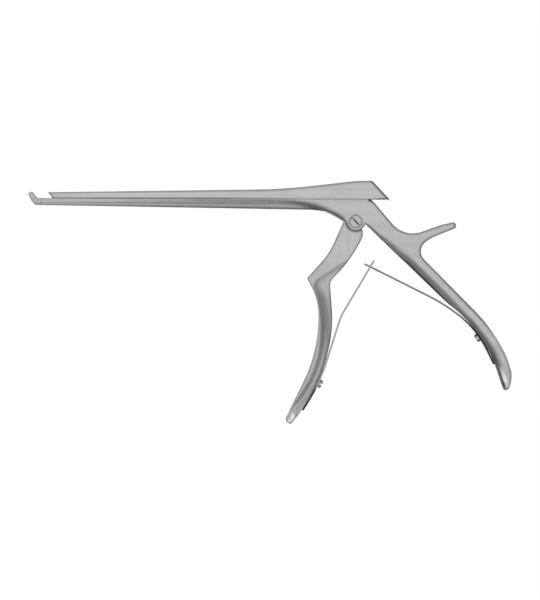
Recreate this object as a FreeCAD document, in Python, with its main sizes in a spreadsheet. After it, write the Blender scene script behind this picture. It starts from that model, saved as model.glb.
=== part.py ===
import FreeCAD, Part
import math
import os
import Sketcher
from FreeCAD import Vector

# A bone punch for one hand: a fixed shaft with a footplate, a second shaft that slides on
# top of it, and two handles held apart by a pair of crossing leaf springs.
# X runs along the shafts from the cutting tip at -X to the handles, Z is up.
# Each piece is drawn symmetric about its own XZ plane. Its Placement then carries that plane
# half a body width to -Y, so that the flat far cheek lies in the plane Y = 0 and the origin
# is where the pivot axis leaves that cheek.

os.makedirs("parts", exist_ok=True)
doc = FreeCAD.newDocument("bone_punch")

# Driving dimensions in millimetres and degrees. A corner of an outline has a place, x and z,
# and a radius r where it is rounded.
dimensions = {
    # Widths, measured across the tool
    "body_width": 10.0,
    "keel_width": 4.4,
    "edge_bevel": 0.5,
    "foot_round": 1.7,
    "top_round": 1.0,

    # Where the two shafts meet, and how far the upper one travels
    "slide_plane_z": 12.3,
    "travel": 8.45,

    # Plan of both shafts: slender to the front, flaring into the body
    "flare_tip_x": -186.0, "flare_tip_z": 2.2,
    "flare_front_x": -42.0, "flare_front_z": 2.75, "flare_front_r": 120.0,
    "flare_mid_x": -23.0, "flare_mid_z": 3.7, "flare_mid_r": 60.0,
    "flare_rear_x": -12.5, "flare_rear_z": 5.0, "flare_rear_r": 12.0,
    "flare_end_x": 2.0, "flare_end_z": 5.0,
    "flare_end_side_x": 2.0, "flare_end_side_z": 9.0,
    "flare_tip_side_x": -186.0, "flare_tip_side_z": 9.0,

    # Side outline of the fixed shaft, the body cheeks, the rear handle and its thumb spur
    "rail_front_x": -175.6, "rail_front_z": 12.3,
    "rail_rear_x": 7.6, "rail_rear_z": 12.3,
    "cheek_back_x": 9.3, "cheek_back_z": 11.35,
    "bend_x": 26.63, "bend_z": -8.94, "bend_r": 14.68,
    "crest_x": 47.22, "crest_z": -1.51, "crest_r": 12.3,
    "spur_top_x": 54.9, "spur_top_z": 0.15, "spur_top_r": 1.5,
    "spur_under_x": 55.0, "spur_under_z": -3.3, "spur_under_r": 1.5,
    "spur_belly_x": 40.9, "spur_belly_z": -9.01, "spur_belly_r": 22.7,
    "web_x": 32.65, "web_z": -15.68, "web_r": 6.36,
    "palm_x": 74.37, "palm_z": -57.65, "palm_r": 87.0,
    "palm_end_x": 83.18, "palm_end_z": -73.88, "palm_end_r": 36.4,
    "tail_x": 86.76, "tail_z": -85.18, "tail_r": 13.8,
    "tail_outer_x": 84.1, "tail_outer_z": -92.3, "tail_outer_r": 1.8,
    "tail_inner_x": 81.9, "tail_inner_z": -92.3, "tail_inner_r": 0.8,
    "inner_low_x": 71.11, "inner_low_z": -60.31, "inner_low_r": 73.4,
    "inner_high_x": 50.48, "inner_high_z": -44.43, "inner_high_r": 60.0,
    "crotch_x": 5.53, "crotch_z": -1.46,
    "ear_inside_x": 0.0, "ear_inside_z": -1.0,
    "chin_x": -6.7, "chin_z": 0.0,
    "cheek_low_x": -23.0, "cheek_low_z": 10.15, "cheek_low_r": 60.0,
    "rail_low_x": -175.6, "rail_low_z": 10.15,

    # Keel under the rail
    "keel_front_x": -176.3, "keel_front_z": 12.3,
    "keel_rear_x": -10.0, "keel_rear_z": 12.3,
    "keel_root_x": -10.0, "keel_root_z": 3.2,
    "keel_low_x": -17.79, "keel_low_z": 6.41, "keel_low_r": 40.9,
    "keel_toe_x": -175.6, "keel_toe_z": 8.55, "keel_toe_r": 0.6,

    # Footplate that the slide cuts against
    "plate_floor_front_x": -175.4, "plate_floor_front_z": 12.3,
    "plate_lip_inner_x": -178.2, "plate_lip_inner_z": 15.75, "plate_lip_inner_r": 0.3,
    "plate_lip_outer_x": -180.3, "plate_lip_outer_z": 15.15, "plate_lip_outer_r": 0.6,
    "plate_nose_x": -179.35, "plate_nose_z": 12.2, "plate_nose_r": 4.0,
    "plate_heel_x": -176.75, "plate_heel_z": 8.6, "plate_heel_r": 1.0,
    "plate_floor_low_x": -173.5, "plate_floor_low_z": 8.7,
    "plate_floor_rear_x": -173.5, "plate_floor_rear_z": 12.3,
    "plate_width": 4.6,

    # Pivot
    "ear_radius": 5.3,
    "hub_radius": 5.1,
    "ear_gap": 0.2,
    "tongue_width": 3.8,
    "tongue_clearance": 0.06,
    "screw_head_radius": 3.1,
    "screw_head_height": 1.5,
    "screw_head_proud": 0.35,
    "screw_shank_radius": 2.2,
    "screw_thread_radius": 1.7,
    "screw_slot_width": 0.8,
    "screw_slot_depth": 0.7,
    "running_clearance": 0.03,

    # Drive between the front handle and the slide
    "drive_arm": 16.5,
    "drive_angle": 14.8,
    "drive_ball_radius": 2.2,
    "drive_neck_half_width": 0.5,
    "drive_root_half_width": 2.9,
    "drive_clearance": 0.08,
    "drive_slot_half_length": 5.3,

    # Dovetail-like T rails that keep the slide on the fixed shaft
    "rail_stem_width": 1.6,
    "rail_stem_height": 1.0,
    "rail_head_width": 3.0,
    "rail_head_height": 0.95,
    "rail_clearance": 0.05,
    "rear_rail_front_x": -38.0,
    "rear_rail_length": 35.0,
    "front_rail_front_x": -160.0,
    "front_rail_length": 12.0,

    # Side outline of the sliding shaft
    "slide_tip_low_x": -166.9, "slide_tip_low_z": 12.3,
    "slide_tip_top_x": -169.53, "slide_tip_top_z": 15.55,
    "slide_swell_x": -40.16, "slide_swell_z": 17.74, "slide_swell_r": 327.0,
    "slide_crown_x": 0.36, "slide_crown_z": 22.34, "slide_crown_r": 43.0,
    "slide_brow_x": 8.9, "slide_brow_z": 22.55, "slide_brow_r": 2.0,
    "slide_back_x": 19.2, "slide_back_z": 11.55,
    "slide_back_low_x": 18.2, "slide_back_low_z": 12.3,
    "cup_width": 3.0,
    "cup_height": 2.1,
    "cup_depth": 9.0,
    "cup_floor": 0.75,

    # Side outline of the front handle
    "shoulder_x": -6.75, "shoulder_z": -0.3,
    "shin_x": -14.46, "shin_z": -17.54, "shin_r": 41.0,
    "elbow_x": -26.6, "elbow_z": -31.2, "elbow_r": 0.9,
    "fingers_x": -20.11, "fingers_z": -43.67, "fingers_r": 35.0,
    "grip_x": -20.43, "grip_z": -71.93, "grip_r": 79.7,
    "toe_front_x": -38.9, "toe_front_z": -110.2, "toe_front_r": 2.4,
    "toe_back_x": -35.2, "toe_back_z": -111.4, "toe_back_r": 0.7,
    "grip_back_x": -18.22, "grip_back_z": -90.69, "grip_back_r": 94.0,
    "back_high_x": -12.26, "back_high_z": -57.37, "back_high_r": 69.6,
    "knee_x": -14.13, "knee_z": -33.09, "knee_r": 6.3,
    "arm_back_x": -1.66, "arm_back_z": -19.9, "arm_back_r": 75.0,
    "heel_x": 3.85, "heel_z": -8.2, "heel_r": 0.8,
    "heel_top_x": 3.85, "heel_top_z": -5.0,
    "arm_top_x": 0.0, "arm_top_z": -3.0,

    # Hollow ground along each flank of the front handle, open to its inner edge
    "hollow_radius": 7.1,
    "hollow_depth": 2.2,
    "hollow_ring_x": -78.3,
    "hollow_ring_z": -60.0,
    "hollow_ring_radius": 65.0,
    "hollow_low_angle": -42.0,
    "hollow_high_angle": 21.7,
    "hollow_arm_turn": 33.4,
    "hollow_arm_length": 26.0,

    # Spoon-shaped end of each flank, near the tips of both handles
    "spoon_radius": 2.6,
    "spoon_depth": 0.95,
    "front_spoon_x": -34.7,
    "front_spoon_z": -106.9,
    "front_spoon_turn": 59.0,
    "front_spoon_length": 11.0,
    "rear_spoon_x": 83.0,
    "rear_spoon_z": -86.9,
    "rear_spoon_turn": 114.2,
    "rear_spoon_length": 25.0,

    # Crown that thins the rear handle towards its inner edge
    "crown_radius": 7.1,
    "crown_width": 5.0,
    "crown_lift": 0.02,
    "crown_apron": 3.0,
    "crown_x": 48.17,
    "crown_z": -42.22,
    "crown_turn": 43.7,
    "crown_length": 42.0,
    "crown_low_bend": 61.0,
    "crown_low_angle": 42.0,
    "crown_high_bend": 14.0,
    "crown_high_angle": 52.0,

    # Leaf springs
    "leaf_thickness": 0.9,
    "leaf_width": 5.0,
    "front_leaf_tip_x": 10.28, "front_leaf_tip_z": -21.27,
    "front_leaf_bend_x": -7.85, "front_leaf_bend_z": -51.97, "front_leaf_bend_r": 20.0,
    "front_leaf_seat_x": -20.0, "front_leaf_seat_z": -90.8, "front_leaf_seat_r": 102.3,
    "front_leaf_end_x": -28.75, "front_leaf_end_z": -103.9,
    "rear_leaf_tip_x": 4.98, "rear_leaf_tip_z": -23.24,
    "rear_leaf_bend_x": 48.71, "rear_leaf_bend_z": -44.92, "rear_leaf_bend_r": 100.0,
    "rear_leaf_seat_x": 66.9, "rear_leaf_seat_z": -58.74, "rear_leaf_seat_r": 54.5,
    "rear_leaf_end_x": 76.4, "rear_leaf_end_z": -78.05,
    "window_width": 2.4,
    "window_margin": 1.3,
    "window_length": 5.2,
    "prong_width": 1.8,
    "prong_length": 6.0,

    # Spring screws: the seat on each handle, the way the screw looks out of it, and its sizes
    "front_seat_x": -20.75, "front_seat_z": -88.72,
    "front_seat_turn": -24.2,
    "rear_seat_x": 68.72, "rear_seat_z": -62.85,
    "rear_seat_turn": -146.0,
    "small_head_radius": 2.35,
    "small_head_height": 1.7,
    "small_head_round": 0.5,
    "small_shank_radius": 1.2,
    "small_shank_length": 4.5,
    "small_slot_width": 0.7,
    "small_slot_depth": 0.9,
}
rounded_corners = {name[:-2] for name in dimensions if name.endswith("_r")}
sides = {"near": "", "far": "-"}

sheet = doc.addObject("Spreadsheet::Sheet", "sizes")
for row, (name, value) in enumerate(dimensions.items(), start=1):
    sheet.set("A%d" % row, name)
    sheet.set("B%d" % row, str(value))
    sheet.setAlias("B%d" % row, name)
workings = doc.addObject("Spreadsheet::Sheet", "workings")
doc.recompute()


def number(name):
    """Read one driving dimension."""
    return float(sheet.get(name))


def point(name):
    """Read the place of a corner, in sketch coordinates."""
    return Vector(number(name + "_x"), number(name + "_z"), 0)


def origin_plane(body, role):
    """Find one of a body's own origin planes."""
    return next(item for item in body.Origin.OriginFeatures if item.Role == role)


def new_body(label):
    """Start a piece whose middle plane is half a body width in front of the far cheek."""
    body = doc.addObject("PartDesign::Body", label)
    body.Label = label
    body.setExpression("Placement.Base.y", "-sizes.body_width / 2")
    return body


def new_sketch(body, name, role="XZ_Plane"):
    """Attach an empty sketch to one of the body's origin planes."""
    sketch = body.newObject("Sketcher::SketchObject", name)
    sketch.AttachmentSupport = (origin_plane(body, role), [""])
    sketch.MapMode = "FlatFace"
    return sketch


def arc_of(centre, start, end):
    """Arc of circle from start to end by the shorter way, always counter-clockwise."""
    first = math.atan2(start.y - centre.y, start.x - centre.x)
    last = math.atan2(end.y - centre.y, end.x - centre.x)
    if (last - first) % (2 * math.pi) > math.pi:
        first, last = last, first
    circle = Part.Circle(centre, Vector(0, 0, 1), (start - centre).Length)
    return Part.ArcOfCircle(circle, first, last)


def bind(sketch, constraint, cell=None):
    """Add a constraint and tie its value to a cell."""
    index = sketch.addConstraint(constraint)
    if cell:
        sketch.renameConstraint(index, cell)
        sketch.setExpression("Constraints." + cell, "sizes." + cell)


def draw(sketch, names, closed=True):
    """Draw a fully constrained chain of lines with rounded corners through named corners."""
    count = len(names)
    places = [point(name) for name in names]
    entry = []
    leave = []
    arcs = {}
    for i in range(count):
        inner = closed or 0 < i < count - 1
        if not inner or names[i] not in rounded_corners:
            entry.append(places[i])
            leave.append(places[i])
            continue
        back = (places[i - 1] - places[i]).normalize()
        ahead = (places[(i + 1) % count] - places[i]).normalize()
        half = back.getAngle(ahead) / 2
        radius = number(names[i] + "_r")
        middle = (back + ahead).normalize()
        centre = places[i] + middle * (radius / math.sin(half))
        entry.append(places[i] + back * (radius / math.tan(half)))
        leave.append(places[i] + ahead * (radius / math.tan(half)))
        arcs[i] = sketch.addGeometry(arc_of(centre, entry[i], leave[i]), False)
    lines = {}
    for i in range(count if closed else count - 1):
        lines[i] = sketch.addGeometry(Part.LineSegment(leave[i], entry[(i + 1) % count]), False)
    for i in range(count):
        mark = sketch.addGeometry(Part.Point(places[i]), True)
        before = lines.get((i - 1) % count if closed else i - 1)
        after = lines.get(i)
        if i in arcs:
            near = sketch.Geometry[arcs[i]].StartPoint.distanceToPoint(entry[i]) < 1e-6
            first = 1 if near else 2
            bind(sketch, Sketcher.Constraint("Tangent", before, 2, arcs[i], first))
            bind(sketch, Sketcher.Constraint("Tangent", arcs[i], 3 - first, after, 1))
            bind(sketch, Sketcher.Constraint("Radius", arcs[i], number(names[i] + "_r")), names[i] + "_r")
            bind(sketch, Sketcher.Constraint("PointOnObject", mark, 1, before))
            bind(sketch, Sketcher.Constraint("PointOnObject", mark, 1, after))
        else:
            if before is not None:
                bind(sketch, Sketcher.Constraint("Coincident", before, 2, mark, 1))
            if after is not None:
                bind(sketch, Sketcher.Constraint("Coincident", after, 1, mark, 1))
        bind(sketch, Sketcher.Constraint("DistanceX", -1, 1, mark, 1, places[i].x), names[i] + "_x")
        bind(sketch, Sketcher.Constraint("DistanceY", -1, 1, mark, 1, places[i].y), names[i] + "_z")


def polygon(sketch, corners):
    """Draw a closed polygon whose corners are pairs of expressions for X and Y."""
    places = [Vector(worked_out(x), worked_out(y), 0) for x, y in corners]
    count = len(places)
    first = sketch.GeometryCount
    for i in range(count):
        sketch.addGeometry(Part.LineSegment(places[i], places[(i + 1) % count]), False)
    for i in range(count):
        line = first + i
        bind(sketch, Sketcher.Constraint("Coincident", line, 2, first + (i + 1) % count, 1))
        for kind, place, words in (("DistanceX", places[i].x, corners[i][0]), ("DistanceY", places[i].y, corners[i][1])):
            index = sketch.addConstraint(Sketcher.Constraint(kind, -1, 1, line, 1, place))
            sketch.setExpression("Constraints[%d]" % index, words)


def circle(sketch, x, y, radius):
    """Draw a circle whose place and radius are expressions."""
    line = sketch.addGeometry(Part.Circle(Vector(worked_out(x), worked_out(y), 0), Vector(0, 0, 1), worked_out(radius)), False)
    for kind, place, words in (("DistanceX", worked_out(x), x), ("DistanceY", worked_out(y), y)):
        index = sketch.addConstraint(Sketcher.Constraint(kind, -1, 1, line, 3, place))
        sketch.setExpression("Constraints[%d]" % index, words)
    index = sketch.addConstraint(Sketcher.Constraint("Radius", line, worked_out(radius)))
    sketch.setExpression("Constraints[%d]" % index, radius)


def worked_out(words):
    """Work out an expression on the sheet's cells, in a cell that nothing else reads."""
    workings.set("A1", "=" + words)
    workings.recompute()
    result = workings.get("A1")
    return float(getattr(result, "Value", result))


def both_ways(body, kind, name, sketch, length):
    """Pad or pocket a sketch by the same amount to either side of its plane."""
    feature = body.newObject("PartDesign::" + kind, name)
    feature.Profile = sketch
    feature.SideType = "Symmetric"
    feature.Type = "Length"
    feature.setExpression("Length", length)
    sketch.Visibility = False
    doc.recompute()
    return feature


def edges_where(shape, test):
    """Names of the edges whose middle point passes a test."""
    names = []
    for index, edge in enumerate(shape.Edges, start=1):
        middle = edge.valueAt((edge.FirstParameter + edge.LastParameter) / 2)
        if test(edge, middle):
            names.append("Edge%d" % index)
    return names


def round_edges(body, name, base, test, radius):
    """Fillet the edges of a feature that pass a test."""
    names = edges_where(base.Shape, test)
    fillet = body.newObject("PartDesign::Fillet", name)
    fillet.Base = (base, names)
    fillet.setExpression("Radius", radius)
    doc.recompute()
    return fillet


def bevel_edges(body, name, base, test, width):
    """Chamfer the edges of a feature that pass a test."""
    names = edges_where(base.Shape, test)
    bevel = body.newObject("PartDesign::Chamfer", name)
    bevel.Base = (base, names)
    bevel.setExpression("Size", width)
    doc.recompute()
    return bevel


def mirrored(body, name, features, role="XZ_Plane"):
    """Repeat cuts on the other side of the middle plane."""
    mirror = body.newObject("PartDesign::Mirrored", name)
    mirror.Originals = features
    mirror.MirrorPlane = (origin_plane(body, role), [""])
    body.Tip = mirror
    doc.recompute()
    return mirror


def cut_flare(body, prefix):
    """Trim both sides in plan, from the slender shaft to the full width of the body."""
    sketch = new_sketch(body, prefix + "_plan", "XY_Plane")
    draw(sketch, ["flare_tip", "flare_front", "flare_mid", "flare_rear", "flare_end", "flare_end_side", "flare_tip_side"])
    cut = both_ways(body, "Pocket", prefix + "_flare", sketch, "8 * sizes.body_width")
    return mirrored(body, prefix + "_flare_pair", [cut])


def t_rail(body, kind, prefix, front, length, grow):
    """Pad a T rail, or pocket the groove it runs in, along X below the sliding plane."""
    sketch = new_sketch(body, prefix + "_section", "YZ_Plane")
    stem = "sizes.rail_stem_width / 2" + grow
    head = "sizes.rail_head_width / 2" + grow
    top = "sizes.slide_plane_z"
    shelf = "sizes.slide_plane_z - sizes.rail_stem_height" + grow
    foot = "sizes.slide_plane_z - sizes.rail_stem_height - sizes.rail_head_height" + grow.replace("+", "-")
    polygon(sketch, [
        (stem, top), (stem, shelf), (head, shelf), (head, foot),
        ("-(" + head + ")", foot), ("-(" + head + ")", shelf), ("-(" + stem + ")", shelf), ("-(" + stem + ")", top),
    ])
    feature = body.newObject("PartDesign::" + kind, prefix)
    feature.Profile = sketch
    feature.Type = "Length"
    feature.setExpression("Length", length)
    if kind == "Pad":
        sketch.setExpression("AttachmentOffset.Base.z", front)
    else:
        sketch.setExpression("AttachmentOffset.Base.z", "(" + front + ") + (" + length + ")")
    sketch.Visibility = False
    doc.recompute()
    return feature


def over_flank(item, side, x, z, depth, radius):
    """Hold a round cutter over the near or far flank, so that it reaches a depth below the surface."""
    item.setExpression("AttachmentOffset.Base.x", x)
    item.setExpression("AttachmentOffset.Base.y", z)
    item.setExpression("AttachmentOffset.Base.z", "%s(sizes.body_width / 2 - %s + %s)" % (sides[side], depth, radius))


def finger_cut(body, side, name, x, z, turn, length, radius, depth):
    """Cut a straight round-bottomed channel that ends in a ball, like the print of a finger."""
    sketch = new_sketch(body, "%s_%s_profile" % (side, name))
    sketch.AttachmentOffset = FreeCAD.Placement(Vector(0, 0, 0), FreeCAD.Rotation(Vector(0, 0, 1), 1))
    over_flank(sketch, side, x, z, depth, radius)
    sketch.setExpression("AttachmentOffset.Rotation.Angle", turn)
    r = worked_out(radius)
    reach = worked_out(length)
    ball = Part.Circle(Vector(0, 0, 0), Vector(0, 0, 1), r)
    sketch.addGeometry(Part.ArcOfCircle(ball, math.pi / 2, math.pi), False)
    sketch.addGeometry(Part.LineSegment(Vector(-r, 0, 0), Vector(reach, 0, 0)), False)
    sketch.addGeometry(Part.LineSegment(Vector(reach, 0, 0), Vector(reach, r, 0)), False)
    sketch.addGeometry(Part.LineSegment(Vector(reach, r, 0), Vector(0, r, 0)), False)
    bind(sketch, Sketcher.Constraint("Coincident", 0, 3, -1, 1))
    bind(sketch, Sketcher.Constraint("Coincident", 0, 2, 1, 1))
    bind(sketch, Sketcher.Constraint("Coincident", 1, 2, 2, 1))
    bind(sketch, Sketcher.Constraint("Coincident", 2, 2, 3, 1))
    bind(sketch, Sketcher.Constraint("Tangent", 3, 2, 0, 1))
    bind(sketch, Sketcher.Constraint("Horizontal", 1))
    bind(sketch, Sketcher.Constraint("Vertical", 2))
    bind(sketch, Sketcher.Constraint("Horizontal", 3))
    index = sketch.addConstraint(Sketcher.Constraint("Radius", 0, r))
    sketch.setExpression("Constraints[%d]" % index, radius)
    index = sketch.addConstraint(Sketcher.Constraint("DistanceX", -1, 1, 1, 2, reach))
    sketch.setExpression("Constraints[%d]" % index, length)
    cut = body.newObject("PartDesign::Groove", "%s_%s" % (side, name))
    cut.Profile = sketch
    cut.ReferenceAxis = (sketch, ["H_Axis"])
    cut.Angle = 360
    sketch.Visibility = False
    doc.recompute()
    return cut


def ring_cut(body, side, name):
    """Cut the long curved part of the front handle's hollow, a length of a ring."""
    ring = body.newObject("PartDesign::SubtractiveTorus", "%s_%s" % (side, name))
    ring.AttachmentSupport = (origin_plane(body, "XZ_Plane"), [""])
    ring.MapMode = "FlatFace"
    ring.AttachmentOffset = FreeCAD.Placement(Vector(0, 0, 0), FreeCAD.Rotation(Vector(0, 0, 1), 1))
    over_flank(ring, side, "sizes.hollow_ring_x", "sizes.hollow_ring_z", "sizes.hollow_depth", "sizes.hollow_radius")
    ring.setExpression("AttachmentOffset.Rotation.Angle", "sizes.hollow_low_angle")
    ring.setExpression("Radius1", "sizes.hollow_ring_radius")
    ring.setExpression("Radius2", "sizes.hollow_radius")
    ring.setExpression("Angle3", "sizes.hollow_high_angle - sizes.hollow_low_angle")
    doc.recompute()
    return ring


def ball_cut(body, side, name, x, z, radius, depth):
    """Cut a ball out of a flank, its poles turned away from the metal."""
    ball = body.newObject("PartDesign::SubtractiveSphere", "%s_%s" % (side, name))
    ball.AttachmentSupport = (origin_plane(body, "XZ_Plane"), [""])
    ball.MapMode = "FlatFace"
    ball.AttachmentOffset = FreeCAD.Placement(Vector(0, 0, 0), FreeCAD.Rotation(Vector(1, 0.4, 0), 90))
    over_flank(ball, side, x, z, depth, radius)
    ball.setExpression("Radius", radius)
    doc.recompute()
    return ball


def crown_profile(body, name, x, z, axis_reach):
    """Draw what the crown takes off one corner of the rear handle, square to its inner edge."""
    sketch = new_sketch(body, name, "YZ_Plane")
    sketch.AttachmentOffset = FreeCAD.Placement(Vector(0, 0, 0), FreeCAD.Rotation(Vector(1, 0, 0), 1))
    sketch.setExpression("AttachmentOffset.Base.y", z)
    sketch.setExpression("AttachmentOffset.Base.z", x)
    sketch.setExpression("AttachmentOffset.Rotation.Angle", "sizes.crown_turn")
    radius = number("crown_radius")
    width = number("crown_width")
    apron = number("crown_apron")
    outside = number("body_width") / 2 + 2
    middle = Vector(radius - number("body_width") / 2 - number("crown_lift"), width, 0)
    low = math.asin(width / radius)
    arc = Part.ArcOfCircle(Part.Circle(middle, Vector(0, 0, 1), radius), math.pi, math.pi + low)
    foot = Vector(middle.x - radius * math.cos(low), 0, 0)
    sketch.addGeometry(arc, False)
    corners = [foot, Vector(foot.x, -apron, 0), Vector(-outside, -apron, 0), Vector(-outside, width, 0)]
    corners.append(Vector(middle.x - radius, width, 0))
    for i in range(4):
        sketch.addGeometry(Part.LineSegment(corners[i], corners[i + 1]), False)
    bind(sketch, Sketcher.Constraint("Coincident", 0, 2, 1, 1))
    bind(sketch, Sketcher.Constraint("Coincident", 1, 2, 2, 1))
    bind(sketch, Sketcher.Constraint("Coincident", 2, 2, 3, 1))
    bind(sketch, Sketcher.Constraint("Coincident", 3, 2, 4, 1))
    bind(sketch, Sketcher.Constraint("Coincident", 4, 2, 0, 1))
    bind(sketch, Sketcher.Constraint("Vertical", 1))
    bind(sketch, Sketcher.Constraint("Horizontal", 2))
    bind(sketch, Sketcher.Constraint("Vertical", 3))
    bind(sketch, Sketcher.Constraint("Horizontal", 4))
    bind(sketch, Sketcher.Constraint("PointOnObject", 0, 2, -1))
    for kind, line, end, value, words in (
        ("DistanceX", 0, 3, middle.x, "sizes.crown_radius - sizes.body_width / 2 - sizes.crown_lift"),
        ("DistanceY", 0, 3, width, "sizes.crown_width"),
        ("DistanceY", 0, 1, width, "sizes.crown_width"),
        ("DistanceY", 2, 1, -apron, "-sizes.crown_apron"),
        ("DistanceX", 3, 1, -outside, "-sizes.body_width / 2 - 2"),
    ):
        index = sketch.addConstraint(Sketcher.Constraint(kind, -1, 1, line, end, value))
        sketch.setExpression("Constraints[%d]" % index, words)
    index = sketch.addConstraint(Sketcher.Constraint("Radius", 0, radius))
    sketch.setExpression("Constraints[%d]" % index, "sizes.crown_radius")
    if axis_reach:
        reach = worked_out(axis_reach)
        line = sketch.addGeometry(Part.LineSegment(Vector(-1, -reach, 0), Vector(1, -reach, 0)), True)
        bind(sketch, Sketcher.Constraint("Horizontal", line))
        bind(sketch, Sketcher.Constraint("DistanceX", -1, 1, line, 1, -1))
        bind(sketch, Sketcher.Constraint("DistanceX", -1, 1, line, 2, 1))
        index = sketch.addConstraint(Sketcher.Constraint("DistanceY", -1, 1, line, 1, -reach))
        sketch.setExpression("Constraints[%d]" % index, "-" + axis_reach)
    sketch.Visibility = False
    doc.recompute()
    return sketch


def crown_bend(body, name, sketch, angle, backwards):
    """Cut the crown along an arc, away from a profile's plane."""
    bend = body.newObject("PartDesign::Groove", name)
    bend.Profile = sketch
    bend.ReferenceAxis = (sketch, ["Axis0"])
    bend.Reversed = backwards
    bend.setExpression("Angle", angle)
    doc.recompute()
    return bend


def screw_hole(body, prefix, seat, turn):
    """Blind hole for a spring screw, bored square into the inner edge of a handle."""
    sketch = new_sketch(body, prefix + "_profile")
    sketch.setExpression("AttachmentOffset.Base.x", "sizes." + seat + "_x")
    sketch.setExpression("AttachmentOffset.Base.y", "sizes." + seat + "_z")
    sketch.AttachmentOffset = FreeCAD.Placement(sketch.AttachmentOffset.Base, FreeCAD.Rotation(Vector(0, 0, 1), 1))
    sketch.setExpression("AttachmentOffset.Rotation.Angle", "sizes." + turn)
    polygon(sketch, [
        ("2", "0"),
        ("2", "sizes.small_shank_radius"),
        ("-(sizes.small_shank_length + 0.4)", "sizes.small_shank_radius"),
        ("-(sizes.small_shank_length + 1.1)", "0"),
    ])
    hole = body.newObject("PartDesign::Groove", prefix)
    hole.Profile = sketch
    hole.ReferenceAxis = (sketch, ["H_Axis"])
    hole.Angle = 360
    sketch.Visibility = False
    doc.recompute()
    return hole


def check(stage, body):
    """Print a piece's volume while it grows."""
    shape = body.Tip.Shape if body.Tip else body.Shape
    print(stage, round(shape.Volume, 1), shape.isValid(), len(shape.Solids))


# Fixed shaft, body and rear handle, forged in one
fixed = new_body("fixed_shaft")
frame_sketch = new_sketch(fixed, "frame_outline")
draw(frame_sketch, [
    "rail_front", "rail_rear", "cheek_back", "bend", "crest", "spur_top", "spur_under", "spur_belly", "web",
    "palm", "palm_end", "tail", "tail_outer", "tail_inner", "inner_low", "inner_high", "crotch", "ear_inside",
    "chin", "cheek_low", "rail_low",
])
frame_pad = both_ways(fixed, "Pad", "frame_pad", frame_sketch, "sizes.body_width")
half_body = number("body_width") / 2
plane_z = number("slide_plane_z")


def on_cheek_foot(edge, middle):
    """Lower side edges of the rail and of the cheeks, back to the chin."""
    return abs(abs(middle.y) - half_body) < 0.01 and middle.x < number("chin_x") and middle.z < plane_z - 0.2


def on_cheek_edge(edge, middle):
    """Side edges of the rear handle and its spur."""
    return abs(abs(middle.y) - half_body) < 0.01 and middle.x > number("rail_rear_x")


foot_round = round_edges(fixed, "foot_round", frame_pad, on_cheek_foot, "sizes.foot_round")
check("foot round", fixed)
frame_bevel = bevel_edges(fixed, "frame_bevel", foot_round, on_cheek_edge, "sizes.edge_bevel")
check("frame bevel", fixed)
ear_sketch = new_sketch(fixed, "ear_outline")
circle(ear_sketch, "0", "0", "sizes.ear_radius")
both_ways(fixed, "Pad", "ear_pad", ear_sketch, "sizes.body_width")
check("ear", fixed)
cut_flare(fixed, "frame")
check("frame flare", fixed)
keel_sketch = new_sketch(fixed, "keel_outline")
draw(keel_sketch, ["keel_front", "keel_rear", "keel_root", "keel_low", "keel_toe"])
keel_pad = both_ways(fixed, "Pad", "keel_pad", keel_sketch, "sizes.keel_width")
check("keel", fixed)
plate_sketch = new_sketch(fixed, "plate_outline")
draw(plate_sketch, [
    "plate_floor_front", "plate_lip_inner", "plate_lip_outer", "plate_nose", "plate_heel", "plate_floor_low",
    "plate_floor_rear",
])
plate_pad = both_ways(fixed, "Pad", "plate_pad", plate_sketch, "sizes.plate_width")
check("plate", fixed)
slot_sketch = new_sketch(fixed, "tongue_slot_outline")
polygon(slot_sketch, [
    ("-sizes.drive_slot_half_length", "sizes.slide_plane_z + 1"),
    ("-sizes.ear_radius - 0.1", "0"),
    ("-sizes.ear_radius - 0.1", "-sizes.ear_radius - 2"),
    ("sizes.ear_radius + 0.1", "-sizes.ear_radius - 2"),
    ("sizes.ear_radius + 0.1", "0"),
    ("sizes.drive_slot_half_length", "sizes.slide_plane_z + 1"),
])
both_ways(fixed, "Pocket", "tongue_slot", slot_sketch, "sizes.tongue_width + 2 * sizes.tongue_clearance")
check("tongue slot", fixed)
t_rail(fixed, "Pocket", "rear_groove", "sizes.rear_rail_front_x - sizes.travel - 1", "60", " + sizes.rail_clearance")
check("rear groove", fixed)
t_rail(
    fixed, "Pocket", "front_groove", "sizes.front_rail_front_x - sizes.travel - 0.5",
    "sizes.front_rail_length + sizes.travel + 2", " + sizes.rail_clearance",
)
check("front groove", fixed)
head_hole_sketch = new_sketch(fixed, "head_hole_outline")
head_hole_sketch.setExpression("AttachmentOffset.Base.z", "sizes.body_width / 2")
circle(head_hole_sketch, "0", "0", "sizes.screw_head_radius + sizes.running_clearance")
head_hole = fixed.newObject("PartDesign::Pocket", "head_hole")
head_hole.Profile = head_hole_sketch
head_hole.Type = "Length"
head_hole.setExpression("Length", "sizes.screw_head_height - sizes.screw_head_proud")
near_sketch = new_sketch(fixed, "shank_hole_outline")
near_sketch.setExpression("AttachmentOffset.Base.z", "sizes.body_width / 2")
circle(near_sketch, "0", "0", "sizes.screw_shank_radius + sizes.running_clearance")
near_hole = fixed.newObject("PartDesign::Pocket", "shank_hole")
near_hole.Profile = near_sketch
near_hole.Type = "Length"
near_hole.setExpression("Length", "sizes.body_width / 2")
far_sketch = new_sketch(fixed, "thread_hole_outline")
circle(far_sketch, "0", "0", "sizes.screw_thread_radius + 0.01")
far_hole = fixed.newObject("PartDesign::Pocket", "thread_hole")
far_hole.Profile = far_sketch
far_hole.Type = "Length"
far_hole.setExpression("Length", "sizes.body_width")
doc.recompute()
check("pivot holes", fixed)
screw_hole(fixed, "rear_screw_hole", "rear_seat", "rear_seat_turn")
check("screw hole", fixed)
crown_straight = fixed.newObject("PartDesign::Pocket", "crown_straight")
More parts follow.
